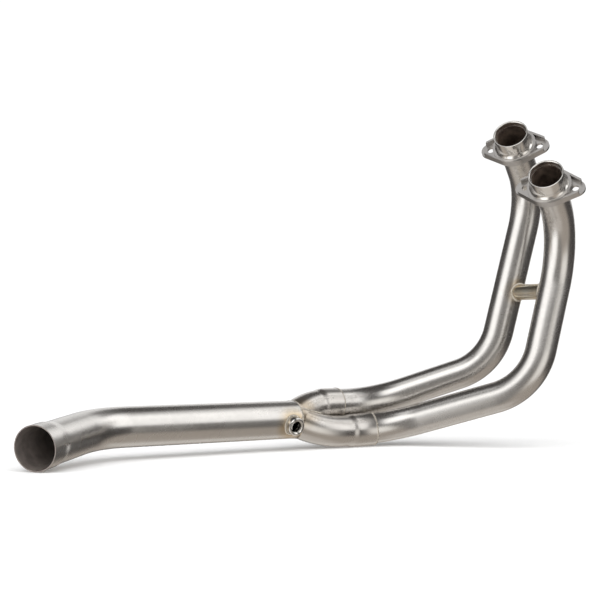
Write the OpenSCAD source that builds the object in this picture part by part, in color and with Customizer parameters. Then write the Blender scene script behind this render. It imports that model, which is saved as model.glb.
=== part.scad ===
// Two-into-one exhaust header: two bent head pipes, a merge collector and one tail pipe.
// Units are millimetres. +Z is up, +X runs from the outlet towards the ports.
// The origin is the centre of the outlet mouth.

/* [Tubes] */
// outside diameter of the two head pipes
head_od = 42; // [38:0.1:44]
// wall of the head pipes and the branches
head_wall = 1.2; // [1:0.1:2]
// outside diameter of the tail pipe
tail_od = 50.8; // [48:0.1:54]
// wall of the tail pipe
tail_wall = 1.2; // [1:0.1:2]
// outside diameter of the crossover tube
cross_od = 22; // [18:0.5:26]
// wall of the crossover tube
cross_wall = 1.5; // [1:0.1:2.5]
// height of the crossover tube above the outlet centre
cross_z = 186; // [180:1:205]

/* [Tail pipe] */
// where the tail pipe's single bend turns, along X
tail_bend_x = 114; // [105:1:125]
// sideways offset of the tail pipe from the outlet centre
tail_y = 81.5; // [75:0.5:88]
// height of the tail pipe above the outlet centre
tail_z = 13; // [8:0.5:18]
// centreline radius of the tail pipe's bend
tail_bend_r = 120; // [100:5:140]
// where the tail pipe meets the collector, along X
ring_x = 404; // [396:1:410]
// length of the widened outlet socket
outlet_len = 36; // [25:1:45]
// inside diameter of the outlet socket, a slip fit on the next pipe
outlet_id = 51.2; // [51:0.1:52]

/* [Collector] */
// distance between the centrelines of the two branches
branch_pitch = 45.5; // [45:0.1:48]
// lean of the branch pair from upright, round the tail pipe's axis
branch_lean = 39.6; // [35:0.1:45]
// centreline radius of the branch bends
branch_r = 113; // [108:1:118]
// where the branch bends begin, along X
branch_x = 472; // [468:1:476]
// small end radius of the blend cone between the branches
blend_r = 12; // [8:0.5:16]
// length of the blend cone
blend_len = 40; // [34:1:46]
// radial clearance of a pipe in its socket
socket_gap = 0.1; // [0.05:0.05:0.3]
// how far the upper socket reaches past the bend's start
upper_socket_len = 15; // [12:1:22]
// bend angle taken up by the upper socket
upper_socket_angle = 5; // [3:0.5:8]
// bend angle taken up by the lower socket
lower_socket_angle = 18; // [14:1:22]

/* [Ports] */
// distance between the two port centres
port_pitch = 93; // [88:0.5:98]
// compass direction that the ports face, from +X
port_az = 210.9; // [205:0.1:216]
// upward tilt of the ports
port_el = 33.5; // [28:0.5:38]
// turn of the port line in the ports' common plane
port_roll = 38; // [32:0.5:44]
// turn of the upper flange's stud line in the ports' common plane
upper_stud_roll = 92.5; // [80:0.5:100]
// turn of the lower flange's stud line in the same plane
lower_stud_roll = 86.5; // [80:0.5:100]
// midpoint of the two port centres
port_mid = [631.3, -133.6, 365];
// distance between the two studs of a flange
stud_pitch = 67; // [62:0.5:72]
// diameter of the stud holes
stud_hole_d = 9; // [8.5:0.1:10]

/* [Bend table] */
// straight run from the upper port to its first bend point
upper_drop = 129.5; // [120:0.5:140]
// straight run from the lower port to its first bend point
lower_drop = 134; // [125:0.5:145]
// bottom bend point of the upper pipe
upper_low = [680, -10.5, 86.5];
// bottom bend point of the lower pipe
lower_low = [671, -101.5, 56];
// where the upper pipe turns along X
upper_turn_x = 552.5; // [545:0.5:560]
// where the lower pipe turns along X
lower_turn_x = 548; // [540:0.5:555]
// centreline radii of the upper pipe's three bends
upper_r = [82, 85, 124];
// centreline radii of the lower pipe's three bends
lower_r = [105, 85, 108];

/* [Collar and flange] */
// outside diameter of the port collar
collar_od = 46.6; // [45:0.1:48]
// length of the collar's straight spigot
collar_len = 16; // [14:0.5:19]
// diameter of the collar's flared foot
foot_d = 51; // [50:0.5:54]
// height of the concave flare
flare_h = 6; // [5:0.5:8]
// thickness of the foot's rim
foot_t = 1.6; // [1:0.1:2.5]
// how far the pipe's end stays below the collar's rim
pipe_recess = 7; // [5:0.5:10]
// how far the flange plate lies below the foot
plate_drop = 5.5; // [4:0.5:8]
// thickness of the flange plate
plate_t = 3; // [2.5:0.5:6]
// radius of the flange's ears
ear_r = 13; // [11:0.5:15]
// radius of the flange's middle
body_r = 30; // [30:0.5:34]
// width of the raised lips along the long edges
lip_w = 3; // [2:0.1:4]
// height of the raised lips above the plate
lip_h = 6; // [4:0.5:8]
// width of the ring round the collar's foot
ring_w = 3.4; // [2.5:0.1:4]
// how deep the foot sits in the ring
pocket = 1.2; // [0.8:0.1:1.6]
// clearance round the foot in the ring
foot_gap = 0.4; // [0.3:0.1:0.8]
// clearance all round the pipe in the flange's bore
flange_gap = 1.4; // [1:0.1:2]

/* [Sensor bung] */
// where the bung sits, along X
bung_x = 388.5; // [380:0.5:392]
// droop of the bung below level
bung_droop = 13; // [5:1:25]
// outside diameter of the bung
bung_od = 24; // [22:0.5:26]
// height of the bung's face above the pipe
bung_h = 9.5; // [8:0.5:12]
// hole through the bung, the minor diameter of an M18 thread
bung_hole_d = 16.4; // [16:0.1:17]

/* [Welds] */
// height of a weld bead above the metal
bead_h = 0.9; // [0.5:0.1:1.4]
// half width of a weld bead
bead_w = 2; // [1.5:0.1:2.8]

/* [Hidden] */
$fn = 96;
far = 400;
head_r = head_od / 2;
head_ri = head_r - head_wall;
tail_r = tail_od / 2;
tail_ri = tail_r - tail_wall;
outlet_ri = outlet_id / 2;
outlet_ro = outlet_ri + tail_wall;
// a bend comes off the mandrel this much larger in radius than the straights, which run this far into it
swell = 0.15;
lap = 0.5;
socket_ri = head_r + socket_gap;
socket_ro = socket_ri + head_wall;
half_pitch = branch_pitch / 2;
branch_y = half_pitch * sin(branch_lean);
branch_z = half_pitch * cos(branch_lean);
// the branch bends run on until they are inside the tail pipe's end
branch_sweep = asin((branch_x - ring_x + 3) / (branch_r - head_r)) + 1;
port_axis = [cos(port_el) * cos(port_az), cos(port_el) * sin(port_az), sin(port_el)];
plane_x = [sin(port_el) * cos(port_az), sin(port_el) * sin(port_az), -cos(port_el)];
plane_y = [-sin(port_az), cos(port_az), 0];
port_line = plane_x * cos(port_roll) + plane_y * sin(port_roll);
upper_port = port_mid - port_line * port_pitch / 2;
lower_port = port_mid + port_line * port_pitch / 2;
// bend tables, from the port to the collector
upper_path = [upper_port - port_axis * pipe_recess, upper_port - port_axis * upper_drop, upper_low,
    [upper_turn_x, tail_y + branch_y, tail_z + branch_z], [branch_x + 1, tail_y + branch_y, tail_z + branch_z]];
lower_path = [lower_port - port_axis * pipe_recess, lower_port - port_axis * lower_drop, lower_low,
    [lower_turn_x, tail_y - branch_y, tail_z - branch_z], [branch_x, tail_y - branch_y, tail_z - branch_z]];
tail_path = [[0, 0, 0], [tail_bend_x, tail_y, tail_z], [ring_x, tail_y, tail_z]];
// where the crossover's axis meets the two straight legs
upper_tap = at_height(upper_path[1], upper_path[2], cross_z);
lower_tap = at_height(lower_path[1], lower_path[2], cross_z);
bung_dir = [0, -cos(bung_droop), -sin(bung_droop)];
foot_r = foot_d / 2;
seat_z = collar_len + flare_h + foot_t;
// the arc that leaves the spigot upright and ends on the foot's rim
flare_w = foot_r - collar_od / 2;
flare_r = (flare_w * flare_w + flare_h * flare_h) / (2 * flare_w);
plate_z = seat_z + plate_drop;

// helpers for directions in space
function unit(v) = v / norm(v);
function dir(pts, i) = unit(pts[i + 1] - pts[i]);
function bend_angle(pts, i) = acos(dir(pts, i - 1) * dir(pts, i));
function bend_run(pts, i, r) = r * tan(bend_angle(pts, i) / 2);
function at_height(a, b, z) = a + (b - a) * (a[2] - z) / (a[2] - b[2]);

// puts local X, Y, Z on three given directions at a point
module place(p, x, y, z) {
    multmatrix([[x[0], y[0], z[0], p[0]], [x[1], y[1], z[1], p[1]], [x[2], y[2], z[2], p[2]]])
        children();
}

// stands local Z along a direction, with local X level
function level_side(z) = abs(z[2]) > 0.999 ? [1, 0, 0] : unit(cross([0, 0, 1], z));
module along(p, z) {
    side = level_side(z);
    place(p, side, cross(z, side), z)
        children();
}

// round bar, or ring when ri is above zero, from one point to another
module run(a, b, ro, ri) {
    along(a, unit(b - a))
        linear_extrude(norm(b - a))
            ring(ro, ri);
}

// a bend's radius direction, from the bend towards its centre
function inward(d1, d2) = unit(d2 - d1 * (d1 * d2));

// the straight lengths between the bends of a table
function legs(pts, radii) = [for (i = [0 : len(pts) - 2])
    norm(pts[i + 1] - pts[i])
    - (i == 0 ? 0 : bend_run(pts, i, radii[i - 1]))
    - (i == len(pts) - 2 ? 0 : bend_run(pts, i + 1, radii[i]))];

// how far each bend's plane is turned from the one before
function rolls(pts, first) = [for (i = [1 : len(pts) - 2])
    let (d = dir(pts, i - 1), now = inward(d, dir(pts, i)),
        old = i == 1 ? first : cross(cross(dir(pts, i - 2), inward(dir(pts, i - 2), d)), d))
    atan2(now * cross(d, old), now * old)];

function turns(pts) = [for (i = [1 : len(pts) - 2]) bend_angle(pts, i)];

// round bar along local Z: a straight run, then a bend, each in the frame where the last one ended
module links(runs, roll, turn, radii, r, i, ext) {
    n = len(runs);
    before = i == 0 ? ext : lap;
    after = i == n - 1 && len(turn) < n ? ext : lap;
    translate([0, 0, -before])
        cylinder(r = r, h = runs[i] + before + after);
    if (i < len(turn))
        translate([0, 0, runs[i]])
            rotate([0, 0, roll[i]]) {
                elbow(radii[i], turn[i], r + swell);
                if (i < n - 1)
                    translate([radii[i], 0, 0])
                        rotate([0, turn[i], 0])
                            translate([-radii[i], 0, 0])
                                links(runs, roll, turn, radii, r, i + 1, ext);
            }
}

// bend that starts along local Z and curves towards local X, cut by the planes of its two ends
module elbow(radius, angle, r) {
    reach = 2 * (radius + r);
    intersection() {
        translate([radius, 0, 0])
            rotate([90, 0, 0])
                rotate_extrude()
                    translate([radius, 0])
                        circle(r);
        translate([-reach, -reach, 0])
            cube(2 * reach);
        translate([radius, 0, 0])
            rotate([0, angle, 0])
                translate([-reach, -reach, -2 * reach])
                    cube(2 * reach);
    }
}

// round bar that follows a bend table, with ext added at its open ends
module bar(pts, radii, r, ext, cut) {
    d = dir(pts, 0);
    side = level_side(d);
    all_turns = turns(pts);
    all_legs = legs(pts, radii);
    n = len(all_turns);
    turn = [for (i = [0 : n - 1]) i == n - 1 ? all_turns[i] - cut : all_turns[i]];
    runs = [for (i = [0 : (cut == 0 ? n : n - 1)]) all_legs[i]];
    along(pts[0], d)
        links(runs, rolls(pts, side), turn, radii, r, 0, ext);
}

module ring(ro, ri) {
    difference() {
        circle(ro);
        if (ri > 0) circle(ri);
    }
}

// the collector's own frame: X on the tail pipe's axis, Z towards the upper branch
module on_collector() {
    translate([0, tail_y, tail_z])
        rotate([-branch_lean, 0, 0])
            children();
}

// one branch bend, curving from its socket down to the tail pipe's axis
module branch_arc(from, to, ro, ri) {
    translate([branch_x, 0, half_pitch - branch_r])
        rotate([90, 0, 0])
            rotate([0, 0, 90 + from])
                rotate_extrude(angle = to - from)
                    translate([branch_r, 0])
                        ring(ro, ri);
}

// what the two branches and the blend cone fill, for a given inset of the wall
module merge_fill(inset, cone_back) {
    branch_arc(0, branch_sweep, head_r - inset, 0);
    rotate([180, 0, 0])
        branch_arc(0, branch_sweep, head_r - inset, 0);
    translate([ring_x - cone_back, 0, 0])
        rotate([0, 90, 0])
            cylinder(r1 = tail_r - inset + cone_back * blend_slope, r2 = blend_r - inset, h = blend_len + cone_back);
}

blend_slope = (tail_r - blend_r) / blend_len;

// the space on the upper side of the plane between the branches, from the tail pipe's end on
module upper_side() {
    translate([ring_x, -far / 2, 0])
        cube([far / 2, far, far / 2]);
}

// one half of the merge
module merge_half() {
    difference() {
        intersection() {
            merge_fill(0, 0);
            upper_side();
        }
        merge_fill(head_wall, 4);
    }
}

module tail_pipe() {
    color("#a9a7a3")
        difference() {
            union() {
                bar(tail_path, [tail_bend_r], tail_r, 0, 0);
                run([0, 0, 0], dir(tail_path, 0) * outlet_len, outlet_ro, 0);
            }
            bar(tail_path, [tail_bend_r], tail_ri, 1, 0);
            run(dir(tail_path, 0) * -1, dir(tail_path, 0) * (outlet_len - tail_wall), outlet_ri, 0);
            bung_core(bung_hole_d / 2);
        }
}

// bead round a pipe: a low cap that stands on a radius
module cap_profile(r) {
    cap_r = (bead_w * bead_w + bead_h * bead_h) / (2 * bead_h);
    intersection() {
        translate([r + bead_h - cap_r, 0])
            circle(cap_r);
        translate([r, -bead_w])
            square([bead_w, 2 * bead_w]);
    }
}

module merge_weld() {
    color("#8d7f68")
        on_collector()
            difference() {
                translate([ring_x - bead_w / 2, 0, 0])
                    rotate([0, 90, 0])
                        rotate_extrude()
                            cap_profile(tail_r);
                for (side = [0, 180])
                    rotate([side, 0, 0])
                        intersection() {
                            branch_arc(0, branch_sweep, head_r, 0);
                            upper_side();
                        }
            }
}

module upper_branch() {
    color("#aaa7a2")
        on_collector() {
            difference() {
                union() {
                    merge_half();
                    branch_arc(0, upper_socket_angle, socket_ro, head_ri);
                    translate([branch_x, 0, half_pitch])
                        rotate([0, 90, 0])
                            linear_extrude(upper_socket_len)
                                ring(socket_ro, head_ri);
                }
                translate([branch_x + 1, 0, half_pitch])
                    rotate([0, 90, 0])
                        cylinder(r = socket_ri, h = upper_socket_len);
            }
        }
}

module lower_branch() {
    color("#aaa7a2")
        on_collector()
            rotate([180, 0, 0])
                difference() {
                    union() {
                        merge_half();
                        at_lower_socket(-lap)
                            ring_run(lower_straight + 2 * lap, head_r - swell, head_ri - swell);
                        at_lower_socket(lower_straight)
                            ring_elbow(lower_r[2], lower_socket_angle, socket_ro + swell, head_ri);
                    }
                    at_lower_socket(lower_straight)
                        translate([lower_r[2], 0, 0])
                            rotate([0, 1, 0])
                                translate([-lower_r[2], 0, 0])
                                    elbow(lower_r[2], lower_socket_angle, socket_ri + swell);
                }
}

// straight length of the lower branch between its merge bend and its socket
lower_straight = lower_turn_x - bend_run(lower_path, 3, lower_r[2]) - branch_x;
// the socket bend's plane, seen from the collector's frame turned over
out_dir = -dir(lower_path, 2);
out_in = inward([1, 0, 0], out_dir);
out_roll = atan2(out_in * [0, -cos(branch_lean), sin(branch_lean)], out_in * [0, sin(branch_lean), cos(branch_lean)]);

module at_lower_socket(past) {
    translate([branch_x + past, 0, half_pitch])
        rotate([0, 90, 0])
            rotate([0, 0, out_roll])
                children();
}

module ring_run(h, ro, ri) {
    linear_extrude(h)
        ring(ro, ri);
}

module ring_elbow(radius, angle, ro, ri) {
    translate([radius, 0, 0])
        rotate([90, 0, 180])
            rotate_extrude(angle = angle)
                translate([radius, 0])
                    ring(ro, ri);
}

// where the two branches part, along X
crotch_x = branch_x - sqrt(pow(branch_r - head_r, 2) - pow(branch_r - half_pitch, 2));

// the bead along both sides of the plane between the branches and round their crotch
module merge_seam_weld() {
    color("#8a7a60")
        on_collector()
            difference() {
                intersection() {
                    merge_fill(-bead_h, 0);
                    translate([ring_x + bead_w + 1, -far / 2, -bead_w])
                        cube([crotch_x - ring_x - 1, far, 2 * bead_w]);
                }
                merge_fill(0, 0);
            }
}

module upper_socket_weld() {
    color("#8d7f68")
        on_collector()
            translate([branch_x + upper_socket_len, 0, half_pitch])
                rotate([0, 90, 0])
                    rotate_extrude()
                        fillet_profile(head_r, socket_wall);
}

socket_wall = socket_ro - head_r;

// corner bead: a quarter round that fills the step at a socket's end
module fillet_profile(r, leg) {
    translate([r, 0])
        intersection() {
            circle(leg);
            square(leg);
        }
}

module lower_socket_weld() {
    color("#8d7f68")
        on_collector()
            rotate([180, 0, 0])
                at_lower_socket(lower_straight)
                    difference() {
                        translate([lower_r[2], 0, 0])
                            rotate([0, lower_socket_angle, 0])
                                translate([-lower_r[2], 0, 0])
                                    rotate_extrude()
                                        fillet_profile(head_r, socket_wall + swell);
                        elbow(lower_r[2], 2 * lower_socket_angle, head_r + swell);
                    }
}

module upper_head_pipe() {
    color("#b0ada8")
        difference() {
            bar(upper_path, upper_r, head_r, 0, 0);
            bar(upper_path, upper_r, head_ri, 1, 0);
            crossover_core(cross_ri);
        }
}

module lower_head_pipe() {
    color("#b0ada8")
        difference() {
            bar(lower_path, lower_r, head_r, 0, 1);
            bar(lower_path, lower_r, head_ri, 1, 0.5);
            crossover_core(cross_ri);
        }
}

cross_ri = cross_od / 2 - cross_wall;

// the crossover's axis, drawn as a bar between the two legs' centrelines
module crossover_core(r) {
    run(upper_tap, lower_tap, r, 0);
}

// each pipe's stretch that the crossover meets
module upper_leg(r) {
    run(upper_path[1], upper_path[2], r, 0);
}

module lower_leg(r) {
    bar([lower_path[0], lower_path[1], lower_path[2]], [lower_r[0]], r, 0, 0);
}

module crossover_tube() {
    color("#b3a88f")
        difference() {
            run(upper_tap, lower_tap, cross_od / 2, cross_ri);
            upper_leg(head_r);
            lower_leg(head_r);
        }
}

// saddle bead: a collar round the crossover, cut to hug the pipe
module upper_crossover_weld() {
    color("#7f6d57")
        difference() {
            intersection() {
                run(upper_tap, (upper_tap + lower_tap) / 2, cross_od / 2 + bead_w, cross_od / 2);
                upper_leg(head_r + bead_w);
            }
            upper_leg(head_r);
        }
}

module lower_crossover_weld() {
    color("#7f6d57")
        difference() {
            intersection() {
                run(lower_tap, (upper_tap + lower_tap) / 2, cross_od / 2 + bead_w, cross_od / 2);
                lower_leg(head_r + bead_w);
            }
            lower_leg(head_r);
        }
}

// at a port: local Z leaves the mouth, local Y is the stud line, z = 0 is the rim
module at_port(p, stud_roll = 90) {
    place(p, plane_x, plane_y, port_axis)
        rotate([0, 0, stud_roll - 90])
            children();
}

// turned collar: spigot, concave flare and a thin foot that bears on the flange
module collar() {
    difference() {
        rotate_extrude()
            difference() {
                union() {
                    translate([head_r, -seat_z])
                        square([collar_od / 2 - head_r, seat_z]);
                    translate([head_r, -seat_z])
                        square([foot_r - head_r, foot_t + flare_h]);
                }
                translate([collar_od / 2 + flare_r, -collar_len])
                    circle(flare_r);
            }
        // light chamfer inside the rim
        translate([0, 0, -rim_chamfer])
            cylinder(r1 = head_r, r2 = head_r + rim_chamfer, h = rim_chamfer + 0.01);
    }
}

rim_chamfer = 0.8;

module upper_port_collar() {
    color("#c9c7c3")
        at_port(upper_port)
            collar();
}

module lower_port_collar() {
    color("#c9c7c3")
        at_port(lower_port)
            collar();
}

// rhombic outline: a round middle, two round ears and the straight edges that touch both
module rhombus(mid_r, end_r) {
    half = stud_pitch / 2;
    lean = asin((mid_r - end_r) / half);
    circle(mid_r);
    for (s = [-1, 1])
        translate([0, s * half])
            circle(end_r);
    polygon([[mid_r * cos(lean), mid_r * sin(lean)], [end_r * cos(lean), half + end_r * sin(lean)],
        [-end_r * cos(lean), half + end_r * sin(lean)], [-mid_r * cos(lean), mid_r * sin(lean)],
        [-mid_r * cos(lean), -mid_r * sin(lean)], [-end_r * cos(lean), -half - end_r * sin(lean)],
        [end_r * cos(lean), -half - end_r * sin(lean)], [mid_r * cos(lean), -mid_r * sin(lean)]]);
}

// the lips end where the straight edges meet the ears
lip_reach = stud_pitch / 2 + ear_r * (body_r - ear_r) / (stud_pitch / 2);

// two-stud flange: thin plate, tall lips on its long edges, raised ring with a pocket for the collar's foot
module flange() {
    difference() {
        union() {
            translate([0, 0, -plate_z - plate_t])
                linear_extrude(plate_t)
                    rhombus(body_r, ear_r);
            translate([0, 0, -plate_z])
                linear_extrude(lip_h)
                    intersection() {
                        difference() {
                            rhombus(body_r, ear_r);
                            rhombus(body_r - lip_w, ear_r - lip_w);
                        }
                        translate([-far / 2, -lip_reach])
                            square([far, 2 * lip_reach]);
                    }
            translate([0, 0, -plate_z])
                cylinder(r = foot_r + foot_gap + ring_w, h = plate_drop + pocket);
        }
        translate([0, 0, -seat_z])
            cylinder(r = foot_r + foot_gap, h = far);
        translate([0, 0, -plate_z - plate_t - 1])
            cylinder(r = head_r + flange_gap, h = far);
        for (s = [-1, 1])
            translate([0, s * stud_pitch / 2, -plate_z - plate_t - 1])
                cylinder(d = stud_hole_d, h = plate_t + 2, $fn = 48);
    }
}

module upper_port_flange() {
    color("#8f8f8c")
        at_port(upper_port, upper_stud_roll)
            flange();
}

module lower_port_flange() {
    color("#8f8f8c")
        at_port(lower_port, lower_stud_roll)
            flange();
}

// a bar on the bung's axis, from the tail pipe's centreline outwards
module bung_core(r) {
    along([bung_x, tail_y, tail_z], bung_dir)
        cylinder(r = r, h = tail_r + 1);
}

// the tail pipe's stretch that the bung sits on
module tail_bar(r) {
    run([bung_x - 2 * bung_od, tail_y, tail_z], [ring_x, tail_y, tail_z], r, 0);
}

// turned bung with a chamfered face, saddled onto the tail pipe
module sensor_bung() {
    color("#b9b6b0")
        difference() {
            along([bung_x, tail_y, tail_z], bung_dir)
                difference() {
                    union() {
                        translate([0, 0, tail_r - bung_od / 4])
                            cylinder(d = bung_od, h = bung_h + bung_od / 4 - bung_chamfer);
                        translate([0, 0, tail_r + bung_h - bung_chamfer])
                            cylinder(d1 = bung_od, d2 = bung_od - 2 * bung_chamfer, h = bung_chamfer);
                    }
                    translate([0, 0, tail_r - bung_od])
                        cylinder(d = bung_hole_d, h = 2 * bung_od);
                    translate([0, 0, tail_r + bung_h - bung_chamfer])
                        cylinder(d1 = bung_hole_d, d2 = bung_hole_d + 2 * bung_chamfer + 0.02, h = bung_chamfer + 0.01);
                }
            tail_bar(tail_r);
        }
}

bung_chamfer = 1.2;

module sensor_bung_weld() {
    color("#7c6a4e")
        difference() {
            intersection() {
                along([bung_x, tail_y, tail_z], bung_dir)
                    linear_extrude(far / 4)
                        ring(bung_od / 2 + 1.6, bung_od / 2);
                tail_bar(tail_r + 1.6);
            }
            tail_bar(tail_r);
        }
}

tail_pipe();
merge_weld();
upper_branch();
lower_branch();
merge_seam_weld();
upper_socket_weld();
lower_socket_weld();
upper_head_pipe();
lower_head_pipe();
crossover_tube();
upper_crossover_weld();
lower_crossover_weld();
upper_port_collar();
lower_port_collar();
upper_port_flange();
lower_port_flange();
sensor_bung();
sensor_bung_weld();
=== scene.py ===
# %% [markdown]
# # A two-into-one exhaust header, dressed in Blender
# The part is a motorcycle exhaust header in brushed stainless steel: two bent head pipes, a merge
# collector and one tail pipe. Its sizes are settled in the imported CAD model, which this lesson loads as a
# fixed frame. Here each visible piece gets its finish, the long pipes are swept again so that their
# brushing can follow them, and the weld beads get their ripples.

# %% Load the frame
import math

import bmesh
import bpy
from mathutils import Matrix, Vector


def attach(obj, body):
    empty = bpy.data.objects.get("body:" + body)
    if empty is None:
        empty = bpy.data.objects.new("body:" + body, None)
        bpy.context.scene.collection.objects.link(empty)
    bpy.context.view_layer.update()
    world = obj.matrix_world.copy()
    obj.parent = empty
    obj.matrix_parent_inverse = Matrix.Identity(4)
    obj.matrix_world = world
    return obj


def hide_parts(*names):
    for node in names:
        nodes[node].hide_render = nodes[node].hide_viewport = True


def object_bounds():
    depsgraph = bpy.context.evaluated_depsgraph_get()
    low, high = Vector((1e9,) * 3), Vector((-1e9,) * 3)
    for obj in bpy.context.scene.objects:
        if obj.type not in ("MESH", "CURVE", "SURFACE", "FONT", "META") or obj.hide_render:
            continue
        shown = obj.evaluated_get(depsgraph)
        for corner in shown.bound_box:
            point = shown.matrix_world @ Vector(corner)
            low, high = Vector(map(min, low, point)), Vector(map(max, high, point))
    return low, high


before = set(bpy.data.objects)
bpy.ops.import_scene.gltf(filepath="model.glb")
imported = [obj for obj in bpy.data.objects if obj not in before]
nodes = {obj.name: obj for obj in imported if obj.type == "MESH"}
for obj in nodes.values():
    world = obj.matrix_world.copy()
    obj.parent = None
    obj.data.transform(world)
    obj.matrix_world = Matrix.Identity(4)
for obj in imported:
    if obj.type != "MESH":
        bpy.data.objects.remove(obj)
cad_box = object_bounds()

print("CAD nodes:", ", ".join(sorted(nodes)))
print("CAD box in mm:", [round(1000 * v, 1) for corner in cad_box for v in corner])

# %% [markdown]
# ## Two helpers
# Colours are written as sRGB hex values, the way a colour picker shows them, but Blender's shaders work in
# linear light, so one function converts them. A second one adds a node with its settings and its links in
# one line, for shader trees and for Geometry Nodes trees alike.

# %% Colour and node helpers
def linear(hex_colour):
    """An sRGB hex colour as the linear RGBA that a shader expects."""
    parts = [int(hex_colour[i:i + 2], 16) / 255 for i in (1, 3, 5)]
    return tuple(c / 12.92 if c <= 0.04045 else ((c + 0.055) / 1.055) ** 2.4 for c in parts) + (1.0,)


def put(tree, kind, inputs=None, **settings):
    """Adds one node. settings are its properties; inputs maps a socket's name or number to a value or to a socket."""
    made = tree.nodes.new(kind)
    for name, value in settings.items():
        setattr(made, name, value)
    for socket, value in (inputs or {}).items():
        if isinstance(value, bpy.types.NodeSocket):
            tree.links.new(value, made.inputs[socket])
        else:
            made.inputs[socket].default_value = value
    return made


MM = 0.001
print("mid grey", [round(c, 3) for c in linear("#808080")])

# %% [markdown]
# ## The header's lines
# A tube bender works from a table of bend points and radii. The same table is repeated here, in the CAD
# model's millimetres, because the swept pipes and the weld beads have to follow the very same lines. The
# origin is the centre of the outlet mouth, +X runs towards the ports and +Z is up.

# %% Sizes and bend tables
HEAD_R, TAIL_R, WALL = 21.0, 25.4, 1.2
CROSS_R, CROSS_Z = 11.0, 186.0
TAIL_Y, TAIL_Z, RING_X = 81.5, 13.0, 404.0
BRANCH_X, BRANCH_R, HALF_PITCH, LEAN = 472.0, 113.0, 22.75, math.radians(39.6)
UPPER_SOCKET_LEN, UPPER_SOCKET_TURN, LOWER_SOCKET_TURN = 15.0, math.radians(5), math.radians(18)
OUTLET_LEN, OUTLET_R, OUTLET_SHOULDER = 36.0, 26.8, 14.0
BUNG_X, BUNG_R, BUNG_H, BUNG_HOLE_R, BUNG_DROOP = 388.5, 12.0, 9.5, 8.2, math.radians(13)
PORT_PITCH, PIPE_RECESS = 93.0, 7.0
ALONG_X, BACKWARD = Vector((1, 0, 0)), Vector((-1, 0, 0))

az, el, roll = math.radians(210.9), math.radians(33.5), math.radians(38)
PORT_AXIS = Vector((math.cos(el) * math.cos(az), math.cos(el) * math.sin(az), math.sin(el)))
PLANE_X = Vector((math.sin(el) * math.cos(az), math.sin(el) * math.sin(az), -math.cos(el)))
PLANE_Y = Vector((-math.sin(az), math.cos(az), 0))
port_line = PLANE_X * math.cos(roll) + PLANE_Y * math.sin(roll)
PORT_MID = Vector((631.3, -133.6, 365.0))
to_port = port_line * (PORT_PITCH / 2)
UPPER_PORT, LOWER_PORT = PORT_MID - to_port, PORT_MID + to_port

branch_y, branch_z = HALF_PITCH * math.sin(LEAN), HALF_PITCH * math.cos(LEAN)
UPPER_TABLE = ([UPPER_PORT - PORT_AXIS * PIPE_RECESS, UPPER_PORT - PORT_AXIS * 129.5, Vector((680, -10.5, 86.5)),
                Vector((552.5, TAIL_Y + branch_y, TAIL_Z + branch_z)),
                Vector((BRANCH_X + 1, TAIL_Y + branch_y, TAIL_Z + branch_z))], [82, 85, 124])
LOWER_TABLE = ([LOWER_PORT - PORT_AXIS * PIPE_RECESS, LOWER_PORT - PORT_AXIS * 134, Vector((671, -101.5, 56)),
                Vector((548, TAIL_Y - branch_y, TAIL_Z - branch_z)),
                Vector((BRANCH_X, TAIL_Y - branch_y, TAIL_Z - branch_z))], [105, 85, 108])
TAIL_TABLE = ([Vector((0, 0, 0)), Vector((114, TAIL_Y, TAIL_Z)), Vector((RING_X, TAIL_Y, TAIL_Z))], [120])


def bend_line(table, step=4.0, open_end=0.0):
    """Points along a bend table: straights joined by arcs.
    open_end leaves that angle off the last bend and stops there."""
    points, radii = table
    line, start = [], points[0]
    for i, radius in enumerate(radii, 1):
        d1, d2 = (points[i] - points[i - 1]).normalized(), (points[i + 1] - points[i]).normalized()
        angle = d1.angle(d2)
        first = points[i] - d1 * radius * math.tan(angle / 2)
        inward = (d2 - d1 * d1.dot(d2)).normalized()
        count = max(1, round((first - start).length / step))
        line += [start.lerp(first, k / count) for k in range(count)]
        last = i == len(radii) and open_end > 0
        sweep = angle - open_end if last else angle
        count = max(2, round(sweep * radius / step))
        centre = first + inward * radius
        for k in range(count + (1 if last else 0)):
            a = sweep * k / count
            line.append(centre - inward * radius * math.cos(a) + d1 * radius * math.sin(a))
        if last:
            return line
        start = centre - inward * radius * math.cos(angle) + d1 * radius * math.sin(angle)
    count = max(1, round((points[-1] - start).length / step))
    return line + [start.lerp(points[-1], k / count) for k in range(count + 1)]


UPPER_LINE = bend_line(UPPER_TABLE)
LOWER_LINE = bend_line(LOWER_TABLE, open_end=math.radians(1))
TAIL_LINE = bend_line(TAIL_TABLE)
for name, line in (("upper", UPPER_LINE), ("lower", LOWER_LINE), ("tail", TAIL_LINE)):
    print(name, "line:", len(line), "points,", round(sum((b - a).length for a, b in zip(line, line[1:]))), "mm")

# %% [markdown]
# ## Brushed stainless steel
# The tubes are welded stainless tube, finished with a fine abrasive pad run round them. Stainless steel is a
# metal, so its colour sits in its reflection: a slightly warm light grey. The pad leaves hairlines about
# 0.1 mm apart, which blur the reflections but are far too fine to see at this size, so the pattern is drawn
# about five times coarser. Slow cloudy changes in roughness are what the eye reads as hand finishing. Close
# to a weld the oxide film turns straw, then brown, so the colour also depends on the distance to each weld.

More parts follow.
